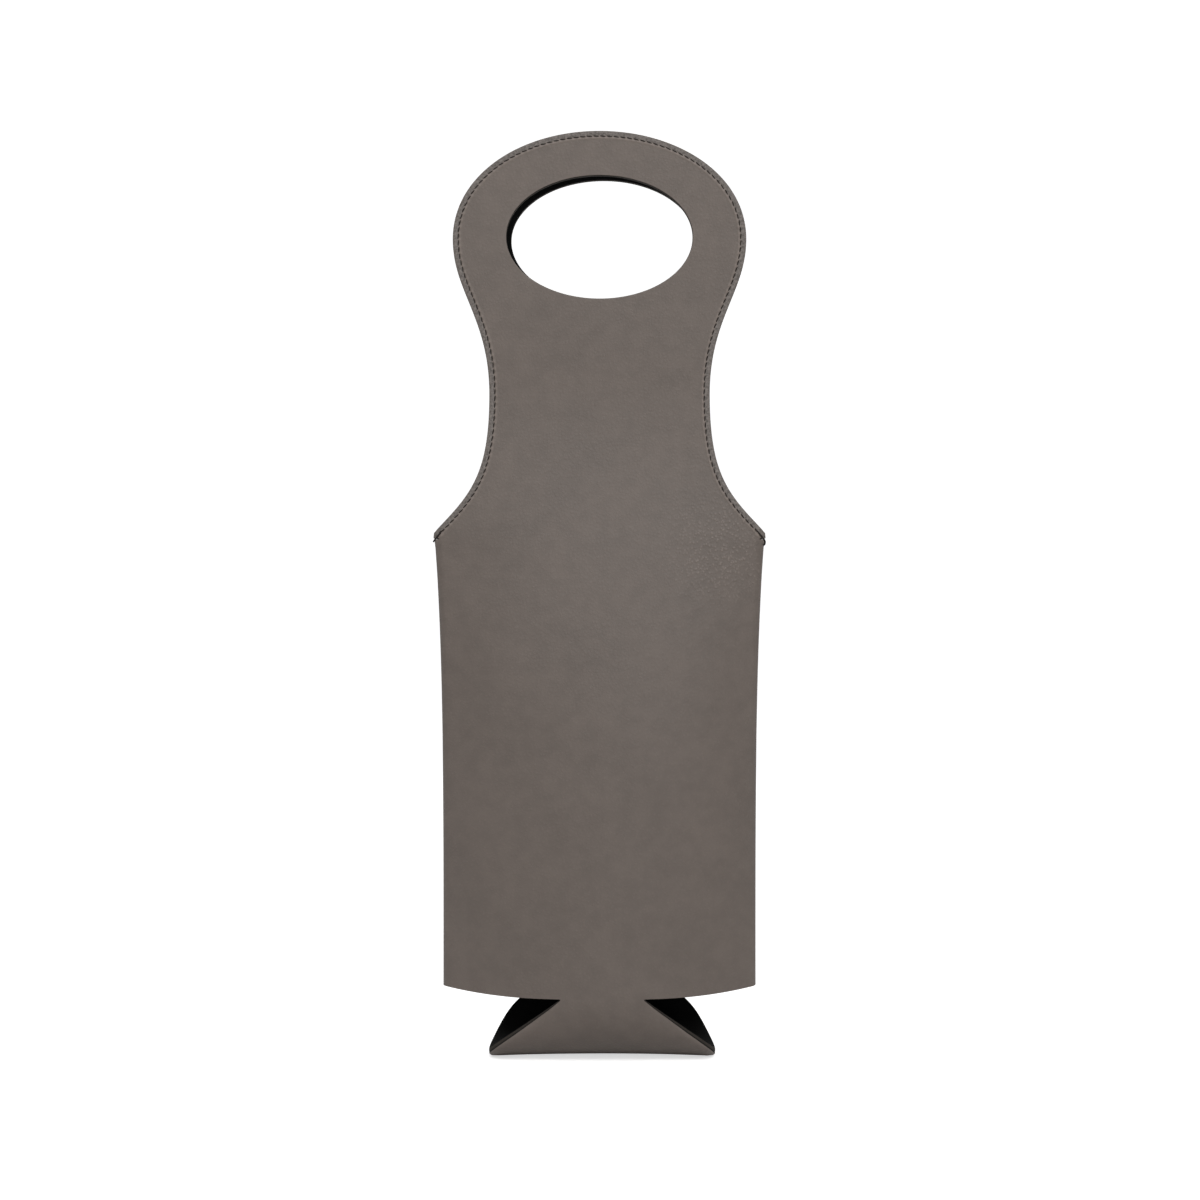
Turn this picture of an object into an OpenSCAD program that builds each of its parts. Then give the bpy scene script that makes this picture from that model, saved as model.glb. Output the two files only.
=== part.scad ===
// Carrier for one bottle, cut in one strip of faced foam laminate. The strip is a front panel, a
// round base and a back panel. Two turned side seams join the panels from the bottom edge to the
// shoulders. Above the shoulders each panel goes on alone as a handle with an oval hand hole.
// The front lies at -Y, +X is to the right and the hanging base touches z = 0.

/* [Overall] */
// Height from the hanging base to the top of the handles
overall_h = 387; // [360:1:420]

/* [Laminate] */
// Thickness of the leather-look face
face_t = 0.9; // [0.6:0.1:1.2]
// Thickness of the foam core
core_t = 2.5; // [2:0.1:3.2]
// Thickness of the knitted lining
lining_t = 0.4; // [0.3:0.1:0.6]

/* [Body] */
// Width across the two side seams at the bottom edge
bottom_w = 130.6; // [120:0.2:136]
// Depth from front face to back face at the bottom edge
body_depth = 55; // [50:0.5:60]
// How far the bottom edge of a panel rises from the base's neck to its sides
edge_bow = 2.8; // [0:0.1:4]
// How late the body narrows towards the handles, where 1 is early
taper_power = 1.7; // [1.4:0.1:2]

/* [Side seams] */
// Radius in the middle of the laminate where a panel's edge rolls into the seam
roll_r = 2.5; // [2.3:0.1:3]
// Width of laminate that the seam turns inside
seam_allowance = 5; // [4:0.5:8]
// Diameter of the seam thread
seam_thread_d = 0.7; // [0.5:0.1:0.9]

/* [Base] */
// Width of the neck that joins the round base to the back panel
base_neck_w = 50; // [42:0.5:56]
// Width of the neck that joins it to the front panel
front_neck_w = 33.6; // [28:0.2:40]
// Angle of the two straight cuts that run from the front neck to the round, from the middle line
front_cut_angle = 48; // [40:1:54]
// Length over which a straight cut turns into the round
cut_blend = 5; // [2:0.5:8]
// How far the middle of the hanging base arches above its two ends
base_arch = 1.1; // [0:0.1:2]
// How far the base hangs to the right of the panels' middle
base_shift = 1.1; // [-2:0.1:2]

/* [Handles] */
// Height from the top of the side seams to the top of the handles
handle_h = 170.5; // [160:0.5:180]
// Width across the shoulders
shoulder_w = 138.8; // [136.8:0.2:146]
// Height of the cut end of each shoulder above the side seam
shoulder_lip = 2.5; // [1.5:0.1:4]
// Angle of the panel's edge at the shoulder, from upright
shoulder_angle = 45; // [35:1:50]
// Width of the neck under the handle
neck_w = 92; // [86:0.5:100]
// Distance of the neck's narrowest point below the top
neck_drop = 110; // [104:1:116]
// Greatest width of the handle
head_w = 122.6; // [118:0.2:128]
// Distance of the handle's widest point below the top
head_drop = 45; // [42:0.5:50]
// Gap between the two handles
handle_gap = 4; // [3:0.2:8]
// Distance below the top where the handles start to part
flat_drop = 102; // [98:1:110]

/* [Hand hole] */
// Width of the hand hole
hole_w = 78; // [70:0.5:86]
// Height of the hand hole
hole_h = 51.5; // [40:0.5:56]
// Distance of the hole's centre below the top
hole_drop = 44.3; // [42:0.1:48]
// How far the back hole is punched to one side of the front one
back_hole_shift = 1.8; // [0:0.1:3]
// How far the back hole is punched lower than the front one
back_hole_drop = 0.6; // [0:0.1:2]

/* [Fold] */
// Height above the side seams of the line where a handle folds outwards
fold_rise = 20.5; // [16:0.5:30]
// Gap at that line between the handle and its panel
fold_gap = 0.3; // [0.2:0.05:0.5]

/* [Edge stitching] */
// Distance of the stitch line from the cut edge
stitch_inset = 2.3; // [2:0.1:4]
// Distance from one stitch to the next
stitch_pitch = 2.8; // [2.6:0.1:4]
// Length of the thread that shows in one stitch
stitch_len = 2.1; // [1.5:0.1:2.4]
// Diameter of the edge thread
thread_d = 0.7; // [0.5:0.1:0.9]
// Length of the loose thread end at each shoulder
thread_end_len = 3; // [2:0.5:5]

/* [Hidden] */

// Colours
face_colour = [0.43, 0.40, 0.375];
core_colour = [0.24, 0.22, 0.20];
lining_colour = [0.07, 0.065, 0.06];
thread_colour = [0.20, 0.165, 0.15];

// Laminate
sheet_t = face_t + core_t + lining_t;
core_depth = face_t;
lining_depth = face_t + core_t;
nose_r = roll_r + sheet_t / 2;

// Heights
bottom_z = body_depth / 2;
seam_top_z = overall_h - handle_h;
fold_z = seam_top_z + fold_rise;
flat_z = overall_h - flat_drop;
neck_z = overall_h - neck_drop;
head_z = overall_h - head_drop;
hole_z = overall_h - hole_drop;

// Depth of the panels: the middle of the laminate lies this far from the middle of the carrier
bottom_half_depth = body_depth / 2 - sheet_t / 2;
handle_half_depth = handle_gap / 2 + sheet_t / 2;

// Resolution
arc_steps = 6;
roll_steps = 4;
corner_steps = 3;
body_rows = 6;
neck_rows = 4;
edge_steps = 12;
hole_points = 48;
base_rows = 20;
base_columns = 6;

// Half width of the body at the side seams, which flares towards the shoulders
flare_power = 4;
shoulder_step = 0.5;
function side_half_w(z) =
    let (up = (z - bottom_z) / (seam_top_z - bottom_z))
    bottom_w / 2 + (shoulder_w / 2 - shoulder_step - bottom_w / 2) * pow(up, flare_power);

// Distance of a panel's middle line from the middle of the carrier
function half_depth(z) =
    let (up = min(1, max(0, (z - bottom_z) / (flat_z - bottom_z))))
    handle_half_depth
        + (bottom_half_depth - handle_half_depth) * (1 + cos(180 * pow(up, taper_power))) / 2;

// Where the edge of a panel rolls into the seam: the centre of the roll
function roll_x(z) = side_half_w(z) - nose_r;

// Radius of the arc that a panel takes between its two rolled edges, tangent to both
function panel_r(z) =
    let (rise = half_depth(z) - nose_r)
    (pow(roll_x(z), 2) + pow(rise, 2) - pow(roll_r, 2)) / (2 * (rise - roll_r));
function panel_angle(z) = asin(roll_x(z) / (panel_r(z) - roll_r));

// Curve of a panel in plan, which flattens above the shoulders and is gone where the handles start
function curvature(z) =
    let (up = min(1, max(0, (z - seam_top_z) / (flat_z - seam_top_z))))
    pow(1 - up, 2) / panel_r(seam_top_z);
function sag(x, curve) = curve * x * x / (1 + sqrt(1 - pow(curve * x, 2)));

// One half of a body panel in plan: each entry is a point and the outward direction there
function roll_point(z, turn) =
    [roll_x(z) + roll_r * sin(turn), -nose_r - roll_r * cos(turn), sin(turn), -cos(turn)];
function half_section(z) =
    let (r = panel_r(z), angle = panel_angle(z))
    concat(
        [for (i = [1:arc_steps]) let (a = angle * i / arc_steps)
            [r * sin(a), r * (1 - cos(a)) - half_depth(z), sin(a), -cos(a)]],
        [for (i = [1:roll_steps]) roll_point(z, angle + (180 - angle) * i / roll_steps)],
        [[roll_x(z) - seam_allowance, -nose_r + roll_r, 0, 1]]
    );
function section(z) =
    let (half = half_section(z), last = len(half) - 1)
    concat(
        [for (i = [0:last]) let (p = half[last - i]) [-p[0], p[1], -p[2], p[3]]],
        [[0, -half_depth(z), 0, -1]],
        half
    );

// Points of a body panel at a depth below its face. The top row stands exactly at the height where
// the part above the side seams starts, so both make one solid.
body_heights = concat(
    [for (i = [0:body_rows - 1]) bottom_z + (seam_top_z - bottom_z) * i / body_rows],
    [seam_top_z]
);
function bottom_rise(x) =
    edge_bow * pow(max(0, abs(x) - base_neck_w / 2) / ((bottom_w - base_neck_w) / 2), 2);
function body_row(z, depth) =
    [for (p = section(z)) let (out = sheet_t / 2 - depth, x = p[0] + p[2] * out)
        [x, p[1] + p[3] * out, z > bottom_z ? z : z + bottom_rise(x)]];
function body_grid(depth) = [for (z = body_heights) body_row(z, depth)];

// Middle of a panel above the shoulders. Its corners bend in to meet those of the other panel
// where the side seam ends, and come free within a short height.
corner_rise = 16;
corner_gap = 0.15;
corner_start_x = panel_r(seam_top_z) * sin(panel_angle(seam_top_z));
corner_end_x = shoulder_w / 2;
function ease(t) = let (c = min(1, max(0, t))) c * c * (3 - 2 * c);
function corner_pinch(x, z) =
    ease((abs(x) - corner_start_x) / (corner_end_x - corner_start_x))
        * pow(1 - min(1, max(0, (z - seam_top_z) / corner_rise)), 2);
function middle_y(x, z) =
    let (free = sag(x, curvature(z)) - half_depth(z), pinch = corner_pinch(x, z))
    free * (1 - pinch) - (sheet_t / 2 + corner_gap) * pinch;
probe = 0.1;
function middle_slope(x, z) = (middle_y(x + probe, z) - middle_y(x - probe, z)) / (2 * probe);

// Points of a panel above the shoulders, wider than its outline, at a depth below its face
slab_margin = 6;
slab_half_x = concat(
    [for (i = [1:arc_steps]) panel_r(seam_top_z) * sin(panel_angle(seam_top_z) * i / arc_steps)],
    [for (i = [1:corner_steps]) corner_start_x + (corner_end_x - corner_start_x) * i / corner_steps],
    [corner_end_x + slab_margin]
);
slab_columns = len(slab_half_x);
slab_x = concat([for (i = [1:slab_columns]) -slab_half_x[slab_columns - i]], [0], slab_half_x);
function slab_point(x, z, depth) =
    let (slope = middle_slope(x, z), out = (sheet_t / 2 - depth) / sqrt(1 + slope * slope))
    [x + slope * out, middle_y(x, z) - out, z];
function slab_grid(heights, depth) = [for (z = heights) [for (x = slab_x) slab_point(x, z, depth)]];
neck_heights =
    [for (i = [0:neck_rows]) seam_top_z + (fold_rise - fold_gap / 2) * i / neck_rows];
handle_heights = concat(
    [for (i = [0:neck_rows]) let (low = fold_z + fold_gap / 2) low + (flat_z - low) * i / neck_rows],
    [overall_h + slab_margin]
);

// Outer surface of a panel above the shoulders, and its lean there
function outer_y(x, z) =
    let (near = slab_point(x, z, 0)[0] - x, slope = middle_slope(x - near, z))
    middle_y(x - near, z) - sheet_t / 2 / sqrt(1 + slope * slope);
function lean(x, z) = atan((outer_y(x, z - probe) - outer_y(x, z + probe)) / (2 * probe));

// Half width of the flat base at a distance in front of its middle. The base is a disc, and its
// diameter follows from the half turn in which it hangs and the back neck. At the front the disc
// is cut straight from both ends of the front neck.
base_r = bottom_half_depth;
base_reach = base_r * PI / 2;
disc_r = norm([base_reach, base_neck_w / 2]);
function soft_min(a, b) =
    let (h = min(1, max(0, 0.5 + (b - a) / (2 * cut_blend)))) b + (a - b) * h - cut_blend * h * (1 - h);
function base_half_w(along) =
    let (disc_w = sqrt(pow(disc_r, 2) - pow(along, 2)))
    along < 0 ? disc_w
        : soft_min(disc_w, front_neck_w / 2 + (base_reach - along) * tan(front_cut_angle));

// Points of the base, from the back panel round underneath to the front panel. The ends take the
// panels' curve, which fades within the first part of the turn.
end_curve = 1 / panel_r(bottom_z);
curve_fade = 6;
function base_point(turn, side, depth) =
    let (
        from_middle = side * base_half_w(base_r * (turn - 90) * PI / 180),
        x = base_shift + from_middle,
        arch = base_arch * (1 - pow(from_middle / disc_r, 2)) * pow(sin(turn), 2),
        out = sheet_t / 2 - depth - sag(x, end_curve) * pow(cos(turn), curve_fade) - arch
    )
    [x, (base_r + out) * cos(turn), bottom_z - (base_r + out) * sin(turn)];
function base_grid(depth) =
    [for (i = [0:base_rows]) [for (j = [0:base_columns])
        base_point(180 * i / base_rows, 2 * j / base_columns - 1, depth)]];

// Right edge of the panel outline above the shoulders, as three curves from shoulder to top
shoulder_pull = 22;
neck_low_pull = 34;
neck_high_pull = 32;
head_low_pull = 22;
head_high_pull = 26;
top_pull = 34;
function bezier(p, t) =
    pow(1 - t, 3) * p[0] + 3 * pow(1 - t, 2) * t * p[1] + 3 * (1 - t) * t * t * p[2] + pow(t, 3) * p[3];
shoulder_point = [shoulder_w / 2, seam_top_z + shoulder_lip];
neck_point = [neck_w / 2, neck_z];
head_point = [head_w / 2, head_z];
top_point = [0, overall_h];
edge_curves = [
    [shoulder_point, shoulder_point + shoulder_pull * [-sin(shoulder_angle), cos(shoulder_angle)],
        neck_point - [0, neck_low_pull], neck_point],
    [neck_point, neck_point + [0, neck_high_pull], head_point - [0, head_low_pull], head_point],
    [head_point, head_point + [0, head_high_pull], top_point + [top_pull, 0], top_point]
];
edge_total = 3 * edge_steps;
function edge_at(i) =
    let (k = min(2, floor(i / edge_steps))) bezier(edge_curves[k], i / edge_steps - k);
right_edge = [for (i = [0:edge_total]) edge_at(i)];
outline = concat(
    [[shoulder_w / 2, seam_top_z - slab_margin]],
    right_edge,
    [for (i = [1:edge_total]) let (p = right_edge[edge_total - i]) [-p[0], p[1]]],
    [[-shoulder_w / 2, seam_top_z - slab_margin]]
);

// Line of the edge stitching from the top down the right side, and the way along it
function edge_direction(i) =
    let (d = right_edge[min(edge_total, i + 1)] - right_edge[max(0, i - 1)]) d / norm(d);
stitch_line = [for (i = [0:edge_total])
    let (k = edge_total - i, d = edge_direction(k)) right_edge[k] + stitch_inset * [-d[1], d[0]]];
function way_to(i) =
    i == 0 ? [0] : let (before = way_to(i - 1))
        concat(before, [before[i - 1] + norm(stitch_line[i] - stitch_line[i - 1])]);
way = way_to(edge_total);
x_along = [for (i = [0:edge_total]) [way[i], stitch_line[i][0]]];
z_along = [for (i = [0:edge_total]) [way[i], stitch_line[i][1]]];
function stitch_at(s) = [lookup(s, x_along), lookup(s, z_along)];
stitch_count = floor((way[edge_total] - stitch_len) / stitch_pitch);
stitch_clearance = 0.4;

// A closed sheet between two grids of points, rows upwards and columns to the right
module sheet(outer, inner) {
    rows = len(outer);
    columns = len(outer[0]);
    function out(i, j) = i * columns + j;
    function in(i, j) = rows * columns + i * columns + j;
    function quad(a, b, c, d) = [[a, b, c], [a, c, d]];
    polyhedron(
        points = concat([for (row = outer) each row], [for (row = inner) each row]),
        faces = concat(
            [for (i = [0:rows - 2]) for (j = [0:columns - 2])
                each quad(out(i, j), out(i + 1, j), out(i + 1, j + 1), out(i, j + 1))],
            [for (i = [0:rows - 2]) for (j = [0:columns - 2]) for (f =
                quad(in(i, j), in(i + 1, j), in(i + 1, j + 1), in(i, j + 1))) [f[0], f[2], f[1]]],
            [for (j = [0:columns - 2]) each quad(out(0, j), out(0, j + 1), in(0, j + 1), in(0, j))],
            [for (j = [0:columns - 2]) let (i = rows - 1)
                each quad(out(i, j + 1), out(i, j), in(i, j), in(i, j + 1))],
            [for (i = [0:rows - 2]) each quad(out(i + 1, 0), out(i, 0), in(i, 0), in(i + 1, 0))],
            [for (i = [0:rows - 2]) let (j = columns - 1)
                each quad(out(i, j), out(i + 1, j), in(i + 1, j), in(i, j))]
        )
    );
}

// The panel outline as a block through the whole depth of the carrier
module outline_block() {
    rotate([90, 0, 0])
        linear_extrude(height = 2 * body_depth, center = true)
            polygon(outline);
}

module hand_hole(shift, drop) {
    rotate([90, 0, 0])
        linear_extrude(height = 2 * body_depth, center = true)
            polygon([for (i = [0:hole_points - 1]) let (a = 360 * i / hole_points)
                [shift + hole_w / 2 * cos(a), hole_z - drop + hole_h / 2 * sin(a)]]);
}

// One layer of a body panel, with its rolled edges, up to the fold line
module body_layer(depth, thickness) {
    sheet(body_grid(depth), body_grid(depth + thickness));
    intersection() {
        sheet(slab_grid(neck_heights, depth), slab_grid(neck_heights, depth + thickness));
        outline_block();
    }
}

// One layer of a handle, above the fold line
module handle_layer(depth, thickness, shift, drop) {
    difference() {
        intersection() {
            sheet(slab_grid(handle_heights, depth), slab_grid(handle_heights, depth + thickness));
            outline_block();
        }
        hand_hole(shift, drop);
    }
}

// One layer of the base
module base_layer(depth, thickness) {
    sheet(base_grid(depth), base_grid(depth + thickness));
}

// One stitch of the edge thread, half sunk in the face
module edge_stitch(middle, angle) {
    translate([middle[0], outer_y(middle[0], middle[1]), middle[1]])
        rotate([lean(middle[0], middle[1]), 0, 0])
            rotate([0, angle, 0])
                cube([thread_d, thread_d, stitch_len], center = true);
}

// The stitches along both edges between two heights
module edge_stitches(low, high) {
    for (i = [0:stitch_count - 1]) {
        s = stitch_len / 2 + i * stitch_pitch + (stitch_pitch - stitch_len) / 2;
        p = stitch_at(s);
        along = stitch_at(s + stitch_len / 2) - stitch_at(s - stitch_len / 2);
        if (p[1] - stitch_len / 2 > low && p[1] + stitch_len / 2 < high)
            for (side = [-1, 1])
                edge_stitch([side * p[0], p[1]], side * atan2(along[0], along[1]));
    }
}

// The two threads of a side seam, one on each side of the turned-in allowances
module seam_threads(side) {
    function thread_row(z, out) = let (x = side * (roll_x(z) - seam_allowance / 2)) [
        [x - seam_thread_d / 2, -sheet_t - out, z],
        [x + seam_thread_d / 2, -sheet_t - out, z]
    ];
    function thread_grid(out) = [for (z = body_heights) thread_row(max(z, bottom_z + edge_bow), out)];
    for (flip = [0, 1])
        mirror([0, flip, 0])
            sheet(thread_grid(seam_thread_d / 2), thread_grid(0));
}

// The cut end of the edge thread, hanging over the rolled edge at the shoulder
module thread_end(side) {
    translate([side * (side_half_w(seam_top_z) + thread_d / 2), -nose_r, seam_top_z - thread_end_len])
        cylinder(h = thread_end_len, d = thread_d, $fn = 16);
}

module front_body_face() {
    color(face_colour) body_layer(0, face_t);
}

module front_body_core() {
    color(core_colour) body_layer(core_depth, core_t);
}

module front_body_lining() {
    color(lining_colour) body_layer(lining_depth, lining_t);
}

module back_body_face() {
    color(face_colour) mirror([0, 1, 0]) body_layer(0, face_t);
}

module back_body_core() {
    color(core_colour) mirror([0, 1, 0]) body_layer(core_depth, core_t);
}

module back_body_lining() {
    color(lining_colour) mirror([0, 1, 0]) body_layer(lining_depth, lining_t);
}

module base_face() {
    color(face_colour) base_layer(0, face_t);
}

module base_core() {
    color(core_colour) base_layer(core_depth, core_t);
}

module base_lining() {
    color(lining_colour) base_layer(lining_depth, lining_t);
}

module front_handle_face() {
    color(face_colour) handle_layer(0, face_t, 0, 0);
}

module front_handle_core() {
    color(core_colour) handle_layer(core_depth, core_t, 0, 0);
}

module front_handle_lining() {
    color(lining_colour) handle_layer(lining_depth, lining_t, 0, 0);
}

module back_handle_face() {
    color(face_colour) mirror([0, 1, 0]) handle_layer(0, face_t, back_hole_shift, back_hole_drop);
}

module back_handle_core() {
    color(core_colour) mirror([0, 1, 0]) handle_layer(core_depth, core_t, back_hole_shift, back_hole_drop);
}

module back_handle_lining() {
    color(lining_colour) mirror([0, 1, 0]) handle_layer(lining_depth, lining_t, back_hole_shift, back_hole_drop);
}

module front_handle_stitching() {
    color(thread_colour) edge_stitches(fold_z + stitch_clearance, overall_h);
}

module back_handle_stitching() {
    color(thread_colour) mirror([0, 1, 0]) edge_stitches(fold_z + stitch_clearance, overall_h);
}

module front_shoulder_stitching() {
    color(thread_colour) edge_stitches(seam_top_z, fold_z - stitch_clearance);
}

module back_shoulder_stitching() {
    color(thread_colour) mirror([0, 1, 0]) edge_stitches(seam_top_z, fold_z - stitch_clearance);
}

module left_seam_stitching() {
    color(thread_colour) seam_threads(-1);
}

module right_seam_stitching() {
    color(thread_colour) seam_threads(1);
}

module left_thread_end() {
    color(thread_colour) thread_end(-1);
}

module right_thread_end() {
    color(thread_colour) thread_end(1);
}

front_body_face();
front_body_core();
front_body_lining();
back_body_face();
back_body_core();
back_body_lining();
base_face();
base_core();
base_lining();
front_handle_face();
front_handle_core();
front_handle_lining();
back_handle_face();
back_handle_core();
back_handle_lining();
front_handle_stitching();
back_handle_stitching();
front_shoulder_stitching();
back_shoulder_stitching();
left_seam_stitching();
right_seam_stitching();
left_thread_end();
right_thread_end();
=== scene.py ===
"""The looks of a bottle carrier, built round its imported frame.

The carrier is cut flat from a faced foam laminate and then formed. This script does the same: it
draws the flat blank, gives each layer its thickness and its cut edges there, and carries every
point of the blank to its place in the carrier. Lengths of the blank are in millimetres, finished
pieces are in metres. The front faces -Y, +X is to the right and the hanging base touches z = 0.
"""

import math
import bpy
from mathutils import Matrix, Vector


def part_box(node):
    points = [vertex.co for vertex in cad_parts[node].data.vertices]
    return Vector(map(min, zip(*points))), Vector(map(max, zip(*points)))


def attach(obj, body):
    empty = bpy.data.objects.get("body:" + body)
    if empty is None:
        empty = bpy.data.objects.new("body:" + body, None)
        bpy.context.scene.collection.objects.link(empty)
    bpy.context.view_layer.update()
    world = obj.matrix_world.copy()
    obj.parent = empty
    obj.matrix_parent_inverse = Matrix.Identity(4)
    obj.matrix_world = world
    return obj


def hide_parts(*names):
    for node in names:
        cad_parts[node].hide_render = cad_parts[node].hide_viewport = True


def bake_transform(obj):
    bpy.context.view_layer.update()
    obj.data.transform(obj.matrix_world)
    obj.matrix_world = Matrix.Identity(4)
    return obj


bl_info = {
    "name": "Bottle Carrier",
    "version": (1, 0, 0),
    "blender": (4, 5, 0),
    "location": "3D View > Sidebar > Carrier",
    "description": "Builds the layers, stitching and stage of a leather-look bottle carrier",
    "category": "Add Mesh",
}

import bmesh
import bpy
import numpy as np
from mathutils import Matrix, Vector, kdtree

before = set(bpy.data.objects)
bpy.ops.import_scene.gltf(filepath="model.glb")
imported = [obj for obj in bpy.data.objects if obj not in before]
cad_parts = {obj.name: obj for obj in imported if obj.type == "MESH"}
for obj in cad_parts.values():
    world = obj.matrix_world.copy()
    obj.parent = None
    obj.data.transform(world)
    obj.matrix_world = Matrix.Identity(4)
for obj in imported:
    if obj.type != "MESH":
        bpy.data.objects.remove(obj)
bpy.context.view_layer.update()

MM = 0.001
FAR = 50.0  # distance from an edge, in millimetres, beyond which nothing of it shows
body_low, body_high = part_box("front_body_face")
handle_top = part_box("front_handle_face")[1].z


# Sizes and colours that a user would change


def length(name, description, millimetres):
    """A length of the sidebar, given in millimetres and kept in metres."""
    return bpy.props.FloatProperty(
        name=name, description=description, default=millimetres * MM, min=0, precision=5, unit="LENGTH"
    )


def colour(name, description, value):
    return bpy.props.FloatVectorProperty(
        name=name, description=description, default=value, size=3, min=0, max=1, subtype="COLOR"
    )


class CarrierSizes(bpy.types.PropertyGroup):
    """Sizes of the carrier, the same as those of its solids"""

    overall_h: length("Height", "From the hanging base to the top of the handles", handle_top / MM)
    body_depth: length("Body depth", "From front to back at the bottom edge", -2 * body_low.y / MM)
    shoulder_w: length("Shoulder width", "Across the shoulders", 2 * body_high.x / MM)
    face_t: length("Face thickness", "Thickness of the leather-look face", 0.9)
    core_t: length("Foam thickness", "Thickness of the foam core", 2.5)
    lining_t: length("Lining thickness", "Thickness of the knitted lining", 0.4)
    bottom_w: length("Bottom width", "Across the side seams at the bottom edge", 130.6)
    roll_r: length("Roll radius", "Radius of the laminate's middle where it rolls into a seam", 2.5)
    seam_allowance: length("Seam allowance", "Laminate turned inside at a side seam", 5)
    base_neck_w: length("Back neck", "Width of the base where it joins the back", 50)
    front_neck_w: length("Front neck", "Width of the base where it joins the front", 33.6)
    cut_blend: length("Cut blend", "Length over which the base's straight cut turns into its round", 5)
    base_arch: length("Base arch", "How far the middle of the base arches above its two ends", 1.1)
    base_shift: length("Base shift", "How far the base hangs to the right of the panels' middle", 1.1)
    edge_bow: length("Edge bow", "How far the bottom edge rises from the neck to the sides", 2.8)
    handle_h: length("Handle height", "From the top of the side seams to the top", 170.5)
    shoulder_lip: length("Shoulder end", "Height of the cut end of each shoulder", 2.5)
    neck_w: length("Neck width", "Width of the neck under the handle", 92)
    neck_drop: length("Neck drop", "Distance of the narrowest point below the top", 110)
    head_w: length("Handle width", "Greatest width of the handle", 122.6)
    head_drop: length("Handle drop", "Distance of the widest point below the top", 45)
    handle_gap: length("Handle gap", "Gap between the two handles", 4)
    flat_drop: length("Flat length", "Distance below the top where the handles part", 102)
    hole_w: length("Hole width", "Width of the hand hole", 78)
    hole_h: length("Hole height", "Height of the hand hole", 51.5)
    hole_drop: length("Hole drop", "Distance of the hole's centre below the top", 44.3)
    back_hole_shift: length("Back hole shift", "How far the back hole is punched to one side", 1.8)
    back_hole_drop: length("Back hole drop", "How far the back hole is punched lower", 0.6)


class CarrierStitching(bpy.types.PropertyGroup):
    """Sizes of the stitching"""

    inset: length("Inset", "Distance of the stitch line from the cut edge", 2.3)
    pitch: length("Pitch", "From one stitch to the next", 2.8)
    stitch_len: length("Stitch length", "Length of the thread that shows in one stitch", 1.9)
    thread_d: length("Thread", "Diameter of the edge thread", 0.45)
    seam_pitch: length("Seam pitch", "From one stitch of a side seam to the next", 3.4)
    groove: length("Groove", "How far the thread pulls the face down", 0.26)
    pucker: length("Pucker", "How far the face stands up beside a needle hole", 0.2)


class CarrierColours(bpy.types.PropertyGroup):
    """Colours of the materials"""

    leather: colour("Face", "Leather-look face", (0.100, 0.0815, 0.0700))
    leather_light: colour("Face, worn", "Lighter tops of the grain", (0.128, 0.1040, 0.0895))
    edge_band: colour("Edge band", "Face between the stitching and the cut edge", (0.120, 0.106, 0.097))
    foam: colour("Foam", "Cut edge of the foam core", (0.026, 0.022, 0.018))
    lining: colour("Lining", "Black knit", (0.003, 0.003, 0.003))
    thread: colour("Thread", "Stitching thread", (0.011, 0.0075, 0.006))
    floor: colour("Floor", "Floor and backdrop", (0.82, 0.82, 0.82))


class CarrierStage(bpy.types.PropertyGroup):
    """Camera and floor"""

    distance: length("Camera distance", "From the camera to the middle of the carrier", 1000)
    height: length("Camera height", "Height of the camera above the base", 191)
    aside: length("Camera aside", "How far the camera stands to the right", 0.2)
    picture_w: length("Picture width", "Width of the picture at the middle of the carrier", 504)


# The form of the carrier


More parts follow.
